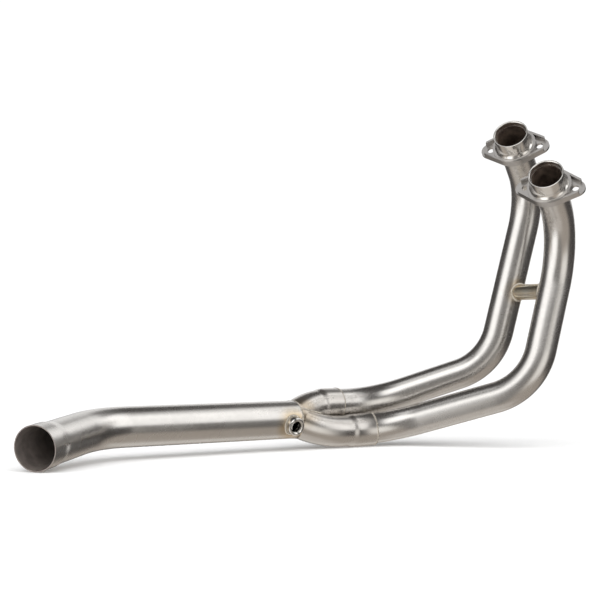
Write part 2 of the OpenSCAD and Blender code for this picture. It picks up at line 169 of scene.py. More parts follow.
# %% Steel material
def steel(name, base, rough, grain, tints=(), along=None, spread=0.025, bump=0.03):
    """A satin metal. grain is the hairlines' scale per metre on each axis.
    tints are (centre, radius, strength), with the first two in mm."""
    made = bpy.data.materials.new(name)
    made.use_nodes = True
    tree = made.node_tree
    tree.nodes.clear()
    objects = put(tree, "ShaderNodeTexCoord").outputs["Object"]
    surface = put(tree, "ShaderNodeAttribute", attribute_name=along).outputs["Vector"] if along else objects
    lines = put(tree, "ShaderNodeMapping", {"Vector": surface, "Scale": grain})
    hair = put(tree, "ShaderNodeTexNoise", {"Vector": lines.outputs[0], "Scale": 1.0, "Detail": 3.0, "Roughness": 0.6})
    cloud = put(tree, "ShaderNodeTexNoise", {"Vector": objects, "Scale": 28.0, "Detail": 3.0, "Roughness": 0.55})
    smear = put(tree, "ShaderNodeTexNoise", {"Vector": objects, "Scale": 140.0, "Detail": 2.0})
    rough_cloud = put(tree, "ShaderNodeMapRange", {0: cloud.outputs[0], 1: 0.3, 2: 0.7,
                                                   3: rough - spread, 4: rough + spread})
    rough_hair = put(tree, "ShaderNodeMapRange", {0: hair.outputs[0], 1: 0.3, 2: 0.7, 3: -spread / 2, 4: spread / 2})
    rough_sum = put(tree, "ShaderNodeMath", {0: rough_cloud.outputs[0], 1: rough_hair.outputs[0]}, operation="ADD")
    tone = put(tree, "ShaderNodeMapRange", {0: smear.outputs[0], 1: 0.3, 2: 0.7, 3: 0.97, 4: 1.02})
    colour = put(tree, "ShaderNodeVectorMath", {0: linear(base)[:3], 3: tone.outputs[0]}, operation="SCALE").outputs[0]
    wander = put(tree, "ShaderNodeTexNoise", {"Vector": objects, "Scale": 60.0, "Detail": 2.0}).outputs[0]
    for centre, radius, strength in tints:
        away = put(tree, "ShaderNodeVectorMath", {0: objects, 1: tuple(c * MM for c in centre)}, operation="DISTANCE")
        near = put(tree, "ShaderNodeMapRange", {0: away.outputs["Value"], 1: radius * 0.45 * MM, 2: radius * MM,
                                                3: strength, 4: 0.0}, interpolation_type="SMOOTHSTEP")
        uneven = put(tree, "ShaderNodeMapRange", {0: wander, 1: 0.3, 2: 0.7, 3: 0.6, 4: 1.1})
        amount = put(tree, "ShaderNodeMath", {0: near.outputs[0], 1: uneven.outputs[0]},
                     operation="MULTIPLY", use_clamp=True)
        ramp = put(tree, "ShaderNodeValToRGB", {0: amount.outputs[0]})
        ramp.color_ramp.elements[0].color = (1, 1, 1, 1)
        ramp.color_ramp.elements[1].color = linear("#a98c78")
        for at, tint in ((0.35, "#eddcc0"), (0.65, "#cfb092")):
            ramp.color_ramp.elements.new(at).color = linear(tint)
        colour = put(tree, "ShaderNodeVectorMath", {0: colour, 1: ramp.outputs[0]}, operation="MULTIPLY").outputs[0]
    ridges = put(tree, "ShaderNodeBump", {"Height": hair.outputs[0], "Strength": bump, "Distance": 0.05 * MM})
    shader = put(tree, "ShaderNodeBsdfPrincipled", {
        "Base Color": colour, "Metallic": 1.0, "Roughness": rough_sum.outputs[0], "Normal": ridges.outputs[0]})
    put(tree, "ShaderNodeOutputMaterial", {"Surface": shader.outputs[0]})
    return made


def on_collector(x, y, z):
    """A point of the collector's own frame, in mm, put into the row frame."""
    return Vector((x, TAIL_Y + y * math.cos(LEAN) + z * math.sin(LEAN),
                   TAIL_Z - y * math.sin(LEAN) + z * math.cos(LEAN)))


def meeting(a, b, z):
    """Where the line through a and b passes the height z."""
    return a + (b - a) * (a.z - z) / (a.z - b.z)


UPPER_TAP = meeting(UPPER_TABLE[0][1], UPPER_TABLE[0][2], CROSS_Z)
LOWER_TAP = meeting(LOWER_TABLE[0][1], LOWER_TABLE[0][2], CROSS_Z)
cross_dir = (LOWER_TAP - UPPER_TAP).normalized()
BUNG_DIR = Vector((0, -math.cos(BUNG_DROOP), -math.sin(BUNG_DROOP)))
BUNG_ROOT = Vector((BUNG_X, TAIL_Y, TAIL_Z))
bung_foot = BUNG_ROOT + BUNG_DIR * TAIL_R
cross_tints = [(UPPER_TAP + cross_dir * HEAD_R, 26, 0.24), (LOWER_TAP - cross_dir * HEAD_R, 24, 0.2)]
round_pipe = (500, 500, 2200)
brushed = steel("stainless_tube_pad_brushed", "#d2cfcb", 0.27, round_pipe, cross_tints, along="straight")
tail_brushed = steel("stainless_tail_tube_pad_brushed", "#d2cfcb", 0.27, round_pipe,
                     [(bung_foot, 30, 0.34), (Vector((RING_X, TAIL_Y - 10, TAIL_Z - 20)), 28, 0.22)], along="straight")
print("steel:", brushed.name, "and", tail_brushed.name)

# %% [markdown]
# Inside, the tube has a thin skin of oxide, grey in the tail and browner in the head pipes. That skin is not
# a bare metal: it scatters light instead of mirroring it, and so a bore shows its colour even where its walls
# only face each other.

# %% Bore materials
def oxide(name, dark, light):
    """A blotchy and mostly matt skin between two hex colours."""
    made = bpy.data.materials.new(name)
    made.use_nodes = True
    tree = made.node_tree
    tree.nodes.clear()
    objects = put(tree, "ShaderNodeTexCoord").outputs["Object"]
    blotch = put(tree, "ShaderNodeTexNoise", {"Vector": objects, "Scale": 90.0, "Detail": 4.0})
    skin = put(tree, "ShaderNodeValToRGB", {0: blotch.outputs[0]})
    skin.color_ramp.elements[0].position, skin.color_ramp.elements[0].color = 0.35, linear(dark)
    skin.color_ramp.elements[1].position, skin.color_ramp.elements[1].color = 0.68, linear(light)
    shader = put(tree, "ShaderNodeBsdfPrincipled", {"Base Color": skin.outputs[0], "Metallic": 0.3, "Roughness": 0.40})
    put(tree, "ShaderNodeOutputMaterial", {"Surface": shader.outputs[0]})
    return made


tail_bore = oxide("stainless_bore_grey_oxide", "#6b635f", "#857c76")
head_bore = oxide("stainless_bore_brown_oxide", "#40352e", "#6a5c51")
print("bores:", tail_bore.name, "and", head_bore.name)

# %% [markdown]
# ## The pipes, swept along their lines
# A bent pipe is a circle drawn along a line, so Geometry Nodes can make it from the bend table: the line
# becomes a curve, a circle is swept along it, and the result is a skin. Before the sweep the tree notes how
# far along the line each point is and where it sits on the circle. Together they say where the point would
# be if the pipe were straight, and the brushing is drawn in that space, so it follows every bend.

# %% Pipe tree
def new_tree(name, sockets):
    """An empty Geometry Nodes tree with named inputs, and the identifier of each."""
    tree = bpy.data.node_groups.new(name, "GeometryNodeTree")
    tree.interface.new_socket("Geometry", in_out="INPUT", socket_type="NodeSocketGeometry")
    tree.interface.new_socket("Geometry", in_out="OUTPUT", socket_type="NodeSocketGeometry")
    ids = {label: tree.interface.new_socket(label, in_out="INPUT", socket_type=kind).identifier
           for label, kind in sockets}
    return tree, put(tree, "NodeGroupInput").outputs, ids


pipe_tree, given, PIPE_INPUTS = new_tree("pipe_swept_along_a_bend_table", [
    ("Radius", "NodeSocketFloat"), ("Sides", "NodeSocketInt"), ("Socket Radius", "NodeSocketFloat"),
    ("Socket Length", "NodeSocketFloat"), ("Material", "NodeSocketMaterial")])
centre_line = put(pipe_tree, "GeometryNodeMeshToCurve", {"Mesh": given["Geometry"]})
noted_length = put(pipe_tree, "GeometryNodeCaptureAttribute", {"Geometry": centre_line.outputs[0]})
noted_length.capture_items.new("FLOAT", "Along")
pipe_tree.links.new(put(pipe_tree, "GeometryNodeSplineParameter").outputs["Length"], noted_length.inputs[1])
circle = put(pipe_tree, "GeometryNodeCurvePrimitiveCircle", {"Resolution": given["Sides"], "Radius": given["Radius"]})
noted_place = put(pipe_tree, "GeometryNodeCaptureAttribute", {"Geometry": circle.outputs[0]})
noted_place.capture_items.new("VECTOR", "Across")
pipe_tree.links.new(put(pipe_tree, "GeometryNodeInputPosition").outputs[0], noted_place.inputs[1])
# the outlet is opened out over its socket's length, with a soft shoulder
growth = put(pipe_tree, "ShaderNodeMath", {0: given["Socket Radius"], 1: given["Radius"]}, operation="DIVIDE")
shoulder = put(pipe_tree, "ShaderNodeMath", {0: given["Socket Length"], 1: OUTLET_SHOULDER * MM},
               operation="ADD")
opened = put(pipe_tree, "ShaderNodeMapRange", {
    0: noted_length.outputs[1], 1: given["Socket Length"], 2: shoulder.outputs[0], 3: growth.outputs[0], 4: 1.0},
    interpolation_type="SMOOTHSTEP")
swept = put(pipe_tree, "GeometryNodeCurveToMesh", {
    "Curve": noted_length.outputs[0], "Profile Curve": noted_place.outputs[0], "Scale": opened.outputs[0]})
across = put(pipe_tree, "ShaderNodeSeparateXYZ", {0: noted_place.outputs[1]})
straight = put(pipe_tree, "ShaderNodeCombineXYZ", {
    0: across.outputs[0], 1: across.outputs[1], 2: noted_length.outputs[1]})
kept = put(pipe_tree, "GeometryNodeStoreNamedAttribute", {"Geometry": swept.outputs[0], "Name": "straight"},
           data_type="FLOAT_VECTOR", domain="POINT")
pipe_tree.links.new(straight.outputs[0], next(s for s in kept.inputs if s.name == "Value" and s.enabled))
real = put(pipe_tree, "GeometryNodeRealizeInstances", {0: kept.outputs[0]})
dressed = put(pipe_tree, "GeometryNodeSetMaterial", {"Geometry": real.outputs[0], "Material": given["Material"]})
put(pipe_tree, "NodeGroupOutput", {0: dressed.outputs[0]})
print("pipe tree:", len(pipe_tree.nodes), "nodes")


# %% Bake helpers
def chain(name, points, closed=False):
    """An object that holds a line of points, in mm, as a chain of edges in metres."""
    mesh = bpy.data.meshes.new(name)
    edges = [(i, i + 1) for i in range(len(points) - 1)] + ([(len(points) - 1, 0)] if closed else [])
    mesh.from_pydata([tuple(p * MM) for p in points], edges, [])
    made = bpy.data.objects.new(name, mesh)
    bpy.context.scene.collection.objects.link(made)
    return made


def grow(name, line, tree, inputs, ids):
    """Runs a tree on a line and keeps the result as a plain mesh object."""
    modifier = line.modifiers.new("grow", "NODES")
    modifier.node_group = tree
    for label, value in inputs.items():
        modifier[ids[label]] = value
    return bake(name, line)


def bake(name, source, sharp=40):
    """Turns what an object shows into a plain mesh, with smooth shading up to the given angle."""
    graph = bpy.context.evaluated_depsgraph_get()
    mesh = bpy.data.meshes.new_from_object(source.evaluated_get(graph), preserve_all_data_layers=True, depsgraph=graph)
    bpy.data.objects.remove(source)
    mesh.name = name
    mesh.shade_smooth()
    mesh.set_sharp_from_angle(angle=math.radians(sharp))
    made = bpy.data.objects.new(name, mesh)
    bpy.context.scene.collection.objects.link(made)
    return made


def drill(made, start, way, radius, depth):
    """Cuts a round hole, in mm, from start along way."""
    bpy.ops.mesh.primitive_cylinder_add(vertices=64, radius=radius * MM, depth=depth * MM,
                                        location=(start + way * depth / 2) * MM)
    bit = bpy.context.object
    bit.rotation_euler = way.to_track_quat("Z", "Y").to_euler()
    cut = made.modifiers.new("hole", "BOOLEAN")
    cut.object, cut.solver = bit, "EXACT"
    drilled = bake(made.name, made)
    bpy.data.objects.remove(bit)
    return drilled


def pipe(name, line, radius, material, bore, socket_radius=None, socket_length=0.0):
    """Sweeps a pipe, in mm, along a line and thickens its skin inwards, with a material of its own in the bore."""
    skin = grow(name, chain(name + "_line", line), pipe_tree, {
        "Radius": radius * MM, "Sides": 96, "Socket Radius": (socket_radius or radius) * MM,
        "Socket Length": socket_length * MM, "Material": material}, PIPE_INPUTS)
    first = skin.data.polygons[0]
    if first.normal.dot(first.center - line[0] * MM) < 0:
        skin.data.flip_normals()
    skin.data.materials.append(bore)
    wall = skin.modifiers.new("wall", "SOLIDIFY")
    wall.thickness, wall.offset, wall.use_even_offset = WALL * MM, -1, True
    wall.material_offset, wall.material_offset_rim = 1, 0
    return bake(name, skin)


upper_pipe = pipe("upper_pipe", UPPER_LINE, HEAD_R, brushed, head_bore)
lower_pipe = pipe("lower_pipe", LOWER_LINE, HEAD_R, brushed, head_bore)
tail = pipe("tail", TAIL_LINE, TAIL_R, tail_brushed, tail_bore, OUTLET_R, OUTLET_LEN - OUTLET_SHOULDER)
for face in tail.data.polygons:  # the saw-cut end is dull
    if (face.center - TAIL_LINE[0] * MM).dot(TAIL_LINE[1] - TAIL_LINE[0]) < 1e-7:
        face.material_index = 1
tail = drill(tail, BUNG_ROOT, BUNG_DIR, BUNG_HOLE_R, TAIL_R + 5)
for made, node, slot in ((upper_pipe, "upper_head_pipe", "brushed_tube"),
                         (lower_pipe, "lower_head_pipe", "brushed_tube"), (tail, "tail_pipe", "brushed_tube")):
    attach(made, "root")
    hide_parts(node)
    print(made.name, len(made.data.polygons), "faces")

# %% [markdown]
# ## Finishes of the pieces that keep their CAD shape
# The branches of the collector are the same brushed steel, formed in a press. The collars are turned and
# polished, so they mirror the room. The flanges are cast and then blasted with fine beads, which leaves an
# even matt skin. The bung is turned, and the crossover tube is tinted all over by the welds at its ends.

# %% Finishes
branch_steel = steel("stainless_branch_formed_brushed", "#d0ccc7", 0.28, (700, 700, 700),
                     [(on_collector(RING_X + 6, -24, 0), 32, 0.26)])
collar_steel = steel("stainless_collar_turned_polished", "#dedbd6", 0.17, (300, 300, 300), spread=0.02, bump=0.02)
flange_steel = steel("cast_steel_flange_bead_blasted", "#bfbcb9", 0.34, (1500, 1500, 1500), spread=0.05, bump=0.2)
bung_steel = steel("stainless_bung_turned", "#d8d5d0", 0.16, (900, 900, 900), spread=0.04, bump=0.06)
cross_steel = steel("stainless_crossover_heat_tinted", "#d2ccbe", 0.22, (900, 900, 900),
                    [(centre, radius, 0.16) for centre, radius, strength in cross_tints])
weld_steel = steel("stainless_weld_bead_as_laid", "#d6cfc3", 0.26, (600, 600, 600), spread=0.05, bump=0.04)
FINISH = {"upper_branch": branch_steel, "lower_branch": branch_steel, "crossover_tube": cross_steel,
          "upper_port_collar": collar_steel, "lower_port_collar": collar_steel, "upper_port_flange": flange_steel,
          "lower_port_flange": flange_steel, "sensor_bung": bung_steel}
for name, node in nodes.items():
    node.data.materials.clear()
    node.data.materials.append(FINISH.get(name, weld_steel))
    if name not in ("upper_head_pipe", "lower_head_pipe", "tail_pipe"):
        print(name, "->", node.data.materials[0].name)

# %% [markdown]
# ## Turned collars and softened edges
# A collar is turned on a lathe, so its profile is drawn once and spun round the port's axis, with a small
# radius on the rim that catches the light. The flanges and the bung keep their CAD shape, but no pressed or
# turned part has a perfectly sharp edge: a copy of each gets its loose triangles merged and its edges rounded.

# %% Collars
def lathe(name, profile, place, material, bore_material, bore_r, sides=128, curve=Vector((0, 0, 0))):
    """Spins a closed profile of (radius, height) pairs in mm round the local Z of a placing matrix, faces outwards.
    curve, the unit vector to a bend's centre over twice its radius, lets a ring follow a bend."""
    turn = [(math.cos(2 * math.pi * k / sides), math.sin(2 * math.pi * k / sides)) for k in range(sides)]
    points = [tuple((place @ Vector((r * c, r * s, z)) + curve * z * z) * MM) for c, s in turn for r, z in profile]
    n = len(profile)
    faces = [(k * n + i, k * n + (i + 1) % n, (k + 1) % sides * n + (i + 1) % n, (k + 1) % sides * n + i)
             for k in range(sides) for i in range(n)]
    mesh = bpy.data.meshes.new(name)
    mesh.from_pydata(points, [], faces)
    mesh.materials.append(material)
    mesh.materials.append(bore_material)
    for face in mesh.polygons:
        i = face.index % n
        face.material_index = int(max(profile[i][0], profile[(i + 1) % n][0]) <= bore_r)
    volume = sum(face.normal.dot(face.center - place.translation * MM) * face.area for face in mesh.polygons) / 3
    if volume < 0:
        mesh.flip_normals()
    mesh.shade_smooth()
    mesh.set_sharp_from_angle(angle=math.radians(38))
    made = bpy.data.objects.new(name, mesh)
    bpy.context.scene.collection.objects.link(made)
    return made


COLLAR_R, COLLAR_LEN, FLARE_H, FOOT_R, FOOT_T = 23.3, 16.0, 6.0, 25.5, 1.6
seat = COLLAR_LEN + FLARE_H + FOOT_T
flare_w = FOOT_R - COLLAR_R
flare_r = (flare_w ** 2 + FLARE_H ** 2) / (2 * flare_w)
FLARE_STEPS = 8
flare = []
for k in range(FLARE_STEPS + 1):
    down = k / FLARE_STEPS * FLARE_H
    flare.append((COLLAR_R + flare_r - math.sqrt(flare_r ** 2 - down ** 2), -COLLAR_LEN - down))
rim = [(HEAD_R, -0.8), (HEAD_R + 0.5, -0.25), (HEAD_R + 0.9, -0.02),
       (COLLAR_R - 0.5, 0), (COLLAR_R - 0.15, -0.12), (COLLAR_R, -0.5)]
foot = [(FOOT_R - 0.25, -COLLAR_LEN - FLARE_H), (FOOT_R, -COLLAR_LEN - FLARE_H - 0.3), (FOOT_R, -seat)]
collar = ([(HEAD_R, -seat)] + rim + flare[:-1] + foot)[::-1]
for port, name in ((UPPER_PORT, "upper_port_collar"), (LOWER_PORT, "lower_port_collar")):
    place = Matrix((PLANE_X, PLANE_Y, PORT_AXIS)).transposed().to_4x4()
    place.translation = port
    made = lathe(name + "_turned", collar, place, collar_steel, head_bore, HEAD_R + 0.1)
    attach(made, "root")
    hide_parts(name)
    print(made.name, len(made.data.polygons), "faces")

# %% [markdown]
# Each branch is opened out in a press to take its head pipe. Such a socket starts with a soft shoulder, which
# the next cell turns in the same way, as a thin ramp laid over the sharp step of the CAD solid.

# %% Socket shoulders
SOCKET_R, SHOULDER = 22.3, 10.0
RAMP_STEPS = 8
ramp = [(HEAD_R - 0.6, -0.4), (SOCKET_R - 0.02, -0.4)]
for k in range(RAMP_STEPS + 1):
    t = k / RAMP_STEPS
    ramp.append((HEAD_R - 0.03 + (SOCKET_R - HEAD_R) * (1 - t * t * (3 - 2 * t)), SHOULDER * t))
ramp.append((HEAD_R - 0.6, SHOULDER))
turned = UPPER_SOCKET_TURN
back = on_collector(-math.cos(turned), 0, -math.sin(turned)) - on_collector(0, 0, 0)
upper_start = on_collector(BRANCH_X - BRANCH_R * math.sin(turned), 0, HALF_PITCH - BRANCH_R * (1 - math.cos(turned)))
to_centre = on_collector(math.sin(turned), 0, -math.cos(turned)) - on_collector(0, 0, 0)
# the last corner of the lower head pipe, with its bend's radius and angle
lower_corner, lower_bend = LOWER_TABLE[0][3], LOWER_TABLE[1][2]
way_in = (lower_corner - LOWER_TABLE[0][2]).normalized()
lower_turn = way_in.angle(BACKWARD)
lower_start = lower_corner + BACKWARD * lower_bend * math.tan(lower_turn / 2)
for name, start, way, curve in (("upper_socket_shoulder", upper_start, back, to_centre / (2 * BRANCH_R)),
                                ("lower_socket_shoulder", lower_start, BACKWARD, Vector((0, 0, 0)))):
    place = way.to_track_quat("Z", "Y").to_matrix().to_4x4()
    place.translation = start
    made = lathe(name, ramp, place, branch_steel, branch_steel, 0, curve=curve)
    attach(made, "root")
    print(made.name, len(made.data.polygons), "faces")

# %% [markdown]
# The bung is threaded for an oxygen sensor, M18 with a pitch of 1.5 mm. A thread is a ridge that winds round
# the hole, so its line is a helix, and the tree that swept the pipes sweeps a small square section along it.

# %% Bung thread
across = BUNG_DIR.orthogonal().normalized()
up_hole = BUNG_DIR.cross(across)
THREAD_PITCH, THREAD_LEN, THREAD_STEPS = 1.5, BUNG_H - 0.6, 320
thread_line = []
for k in range(THREAD_STEPS + 1):
    a = 2 * math.pi * THREAD_LEN / THREAD_PITCH * k / THREAD_STEPS
    thread_line.append(BUNG_ROOT + BUNG_DIR * (TAIL_R + 0.2 + THREAD_LEN * k / THREAD_STEPS)
                       + (across * math.cos(a) + up_hole * math.sin(a)) * (BUNG_HOLE_R + 0.15))
thread = grow("bung_thread", chain("bung_thread_line", thread_line), pipe_tree, {
    "Radius": THREAD_PITCH / 2 * MM, "Sides": 4, "Socket Radius": THREAD_PITCH / 2 * MM,
    "Socket Length": 0.0, "Material": bung_steel}, PIPE_INPUTS)
capped = bmesh.new()
capped.from_mesh(thread.data)
bmesh.ops.holes_fill(capped, edges=[e for e in capped.edges if e.is_boundary], sides=8)
bmesh.ops.recalc_face_normals(capped, faces=capped.faces[:])
capped.to_mesh(thread.data)
capped.free()
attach(thread, "root")
print(thread.name, len(thread.data.polygons), "faces")

# %% Rounded edges
for name, width in (("upper_port_flange", 0.7), ("lower_port_flange", 0.7), ("sensor_bung", 0.3)):
    copy = bpy.data.objects.new(name + "_copy", nodes[name].data.copy())
    copy.matrix_world = nodes[name].matrix_world
    bpy.context.scene.collection.objects.link(copy)
    # the copy's stored normals belong to the sharp shape, so they go first
    copy.data.attributes.remove(copy.data.attributes["custom_normal"])
    copy.modifiers.new("merged", "WELD").merge_threshold = 0.005 * MM
    flat = copy.modifiers.new("flat", "DECIMATE")
    flat.decimate_type, flat.angle_limit = "DISSOLVE", math.radians(1)
    rounded = copy.modifiers.new("rounded", "BEVEL")
    rounded.width, rounded.segments = width * MM, 2
    rounded.limit_method, rounded.angle_limit = "ANGLE", math.radians(35)
    made = bake(name + "_rounded", copy, 30)
    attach(made, "root")
    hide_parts(name)
    print(made.name, len(made.data.polygons), "faces")

# %% [markdown]
# ## Weld beads
# A bead laid by hand is a row of small frozen puddles, each lying partly on the one before. Geometry Nodes
# walks along a joint's line and sets a flattened ball at every step, turned to face along the line and sunk
# most of the way into the metal. The joints themselves are computed: circles for the sockets and the tail
# ring, saddles where one tube meets another, and a U along the seam between the two branches.

# %% Bead lines
def circle_line(centre, axis, radius, count=72):
    """Points of a circle, in mm, round an axis."""
    side = axis.orthogonal().normalized()
    other = axis.cross(side)
    angles = [2 * math.pi * k / count for k in range(count)]
    return [centre + (side * math.cos(a) + other * math.sin(a)) * radius for a in angles]


def saddle_line(foot, axis, radius, leg, leg_radius):
    """Where a round tube that starts at foot, on a leg's axis, comes out through the leg's skin."""
    onward = axis - leg * axis.dot(leg)
    line = []
    for start in circle_line(foot, axis, radius):
        across = (start - foot) - leg * (start - foot).dot(leg)
        a, b, c = onward.dot(onward), 2 * across.dot(onward), across.dot(across) - leg_radius ** 2
        line.append(start + axis * ((math.sqrt(b * b - 4 * a * c) - b) / (2 * a)))
    return line


# how deep the seam's bead is sunk, how far past the ring it starts, and the CAD model's blend between the branches
SEAM_SINK, SEAM_START, BLEND_SLOPE, BLEND_LEN = 0.6, 3.0, 0.335, 40.0


def seam_half(side, steps=40):
    """One side of the seam between the branches, from the tail ring to the crotch, in the collector's frame."""
    shrunk = HEAD_R - SEAM_SINK
    drop = BRANCH_R - HALF_PITCH
    crotch = BRANCH_X - math.sqrt((BRANCH_R - shrunk) ** 2 - drop ** 2)
    line = []
    for k in range(steps + 1):
        x = RING_X + SEAM_START + (crotch - RING_X - SEAM_START) * math.sin(math.pi / 2 * k / steps)
        cone = TAIL_R - SEAM_SINK - BLEND_SLOPE * (x - RING_X) if x < RING_X + BLEND_LEN else 0
        rest = shrunk ** 2 - (math.hypot(x - BRANCH_X, drop) - BRANCH_R) ** 2
        line.append(on_collector(x, side * max(cone, math.sqrt(max(rest, 0))), 0))
    return line


upper_leg = (UPPER_TABLE[0][2] - UPPER_TABLE[0][1]).normalized()
lower_leg = (LOWER_TABLE[0][2] - LOWER_TABLE[0][1]).normalized()
inward = (BACKWARD - way_in * way_in.dot(BACKWARD)).normalized()
past = lower_turn - LOWER_SOCKET_TURN
socket_end = (lower_corner - way_in * lower_bend * math.tan(lower_turn / 2)
              + inward * lower_bend * (1 - math.cos(past)) + way_in * lower_bend * math.sin(past))
socket_way = way_in * math.cos(past) + inward * math.sin(past)
ring_centre = Vector((RING_X + 0.3, TAIL_Y, TAIL_Z))
upper_mouth = on_collector(BRANCH_X + UPPER_SOCKET_LEN + 0.3, 0, HALF_PITCH)
# each bead's line, the radius of its puddles in mm, and whether the line closes
BEADS = {
    "merge_weld": (circle_line(ring_centre, ALONG_X, TAIL_R - 2.2), 2.6, True),
    "upper_socket_weld": (circle_line(upper_mouth, ALONG_X, HEAD_R + 0.3), 1.5, True),
    "lower_socket_weld": (circle_line(socket_end, socket_way, HEAD_R + 0.4), 1.6, True),
    "upper_crossover_weld": (saddle_line(UPPER_TAP, cross_dir, CROSS_R + 0.4, upper_leg, HEAD_R + 0.3), 2.0, True),
    "lower_crossover_weld": (saddle_line(LOWER_TAP, -cross_dir, CROSS_R + 0.4, lower_leg, HEAD_R + 0.3), 2.0, True),
    "sensor_bung_weld": (saddle_line(BUNG_ROOT, BUNG_DIR, BUNG_R + 0.3, ALONG_X, TAIL_R + 0.2), 1.7, True),
    "merge_seam_weld": (seam_half(1) + seam_half(-1)[-2::-1], 1.7, False)}
print("socket end at", tuple(round(c, 1) for c in socket_end))

# %% Bead tree
BEAD_STEP = 1.6
bead_tree, given, BEAD_INPUTS = new_tree("weld_bead_of_puddles", [
    ("Step", "NodeSocketFloat"), ("Ball Radius", "NodeSocketFloat"),
    ("Seed", "NodeSocketInt"), ("Material", "NodeSocketMaterial")])
joint = put(bead_tree, "GeometryNodeMeshToCurve", {"Mesh": given["Geometry"]})
beats = put(bead_tree, "GeometryNodeResampleCurve", {"Curve": joint.outputs[0], "Length": given["Step"]}, mode="LENGTH")
tangent = put(bead_tree, "GeometryNodeInputTangent")
facing = put(bead_tree, "FunctionNodeAlignRotationToVector", {"Vector": tangent.outputs[0]}, axis="Z")
uneven = put(bead_tree, "FunctionNodeRandomValue", {2: 0.9, 3: 1.12, 8: given["Seed"]}, data_type="FLOAT")
shape = put(bead_tree, "ShaderNodeCombineXYZ", {0: uneven.outputs[1], 1: uneven.outputs[1], 2: 0.62})
puddle = put(bead_tree, "GeometryNodeMeshUVSphere", {"Segments": 16, "Rings": 10, "Radius": given["Ball Radius"]})
laid = put(bead_tree, "GeometryNodeInstanceOnPoints", {"Points": beats.outputs[0], "Instance": puddle.outputs[0],
                                                       "Rotation": facing.outputs[0], "Scale": shape.outputs[0]})
real = put(bead_tree, "GeometryNodeRealizeInstances", {0: laid.outputs[0]})
dressed = put(bead_tree, "GeometryNodeSetMaterial", {"Geometry": real.outputs[0], "Material": given["Material"]})
put(bead_tree, "NodeGroupOutput", {0: dressed.outputs[0]})
for seed, (node, (line, ball, closed)) in enumerate(BEADS.items()):
    bead = grow(node + "_laid", chain(node + "_line", line, closed), bead_tree,
                {"Step": BEAD_STEP * MM, "Ball Radius": ball * MM, "Seed": seed, "Material": weld_steel}, BEAD_INPUTS)
    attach(bead, "root")
    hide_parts(node)
    print(bead.name, len(bead.data.polygons), "faces")

# %% [markdown]
# ## The floor, the light and the camera
# The header stands on a white sheet of paper, which runs up into a white backdrop behind it. One very wide
# lamp over the camera's shoulder and an even dome light the sheet, so that the shadows are soft and fall back
# under the tubes. The sheet is hidden from mirrored rays, because the room that the steel shows is drawn apart.

# %% Floor
middle = (cad_box[0] + cad_box[1]) / 2
FORWARD, RIGHT = Vector((0.571, 0.821, 0)).normalized(), Vector((0.821, -0.571, 0)).normalized()
floor_z = cad_box[0].z
DOME, BACKDROP = 0.55, 1.05
bpy.ops.mesh.primitive_plane_add(size=40, location=(0, 0, floor_z))
floor = bpy.context.object
floor.name = "floor"
paper = bpy.data.materials.new("white_studio_paper")
paper.use_nodes = True
tree = paper.node_tree
tree.nodes.clear()
fleck = put(tree, "ShaderNodeTexNoise", {"Scale": 60.0, "Detail": 2.0})
shade = put(tree, "ShaderNodeMapRange", {0: fleck.outputs[0], 3: 0.86, 4: 0.90})
white = put(tree, "ShaderNodeCombineColor", {0: shade.outputs[0], 1: shade.outputs[0], 2: shade.outputs[0]})
sheet = put(tree, "ShaderNodeBsdfPrincipled", {
    "Base Color": white.outputs[0], "Roughness": 0.9, "Specular IOR Level": 0.0})
# far from the part the sheet runs up into the white backdrop
spot = put(tree, "ShaderNodeNewGeometry").outputs["Position"]
away = put(tree, "ShaderNodeVectorMath", {0: spot, 1: tuple(middle)}, operation="DISTANCE")
fade = put(tree, "ShaderNodeMapRange", {0: away.outputs["Value"], 1: 0.7, 2: 1.3, 3: 0.0, 4: 1.0},
           interpolation_type="SMOOTHSTEP")
backdrop = put(tree, "ShaderNodeEmission", {"Color": (1, 1, 1, 1), "Strength": BACKDROP})
run_up = put(tree, "ShaderNodeMixShader", {0: fade.outputs[0], 1: sheet.outputs[0], 2: backdrop.outputs[0]})
# mirrored rays pass through: what they see is drawn in the world
mirrored = put(tree, "ShaderNodeBsdfTransparent")
rays = put(tree, "ShaderNodeLightPath")
either = put(tree, "ShaderNodeMixShader", {
    0: rays.outputs["Is Glossy Ray"], 1: run_up.outputs[0], 2: mirrored.outputs[0]})
put(tree, "ShaderNodeOutputMaterial", {"Surface": either.outputs[0]})
floor.data.materials.append(paper)

# %% [markdown]
# ## The mirrored studio
# The streaks on a steel tube are pictures of what stands round it. Each direction of the world therefore
# gets its own brightness, by its angle round the part and its height: white panels left and right, a white
# backdrop, black gaps between them that draw the dark edges, and a warm shaded sheet below. Only mirrored
# rays see this room. The camera sees plain white, and the paper is lit by an even dome.

# %% World
world = bpy.data.worlds.new("studio")
bpy.context.scene.world = world
world.use_nodes = True
tree = world.node_tree
tree.nodes.clear()
ray = put(tree, "ShaderNodeTexCoord").outputs["Generated"]
to_right = put(tree, "ShaderNodeVectorMath", {0: ray, 1: tuple(RIGHT)}, operation="DOT_PRODUCT").outputs["Value"]
to_front = put(tree, "ShaderNodeVectorMath", {0: ray, 1: tuple(-FORWARD)}, operation="DOT_PRODUCT").outputs["Value"]
up = put(tree, "ShaderNodeSeparateXYZ", {0: ray}).outputs[2]
azimuth = put(tree, "ShaderNodeMath", {0: to_right, 1: to_front}, operation="ARCTAN2").outputs[0]
height = put(tree, "ShaderNodeMath", {0: up}, operation="ARCSINE").outputs[0]


def edge(value, at, soft):
    """0 below an angle and 1 above it, with a soft step, all in degrees."""
    low, high = math.radians(at - soft), math.radians(at + soft)
    step = put(tree, "ShaderNodeMapRange", {0: value, 1: low, 2: high, 3: 0.0, 4: 1.0},
               interpolation_type="SMOOTHSTEP")
    return step.outputs[0]


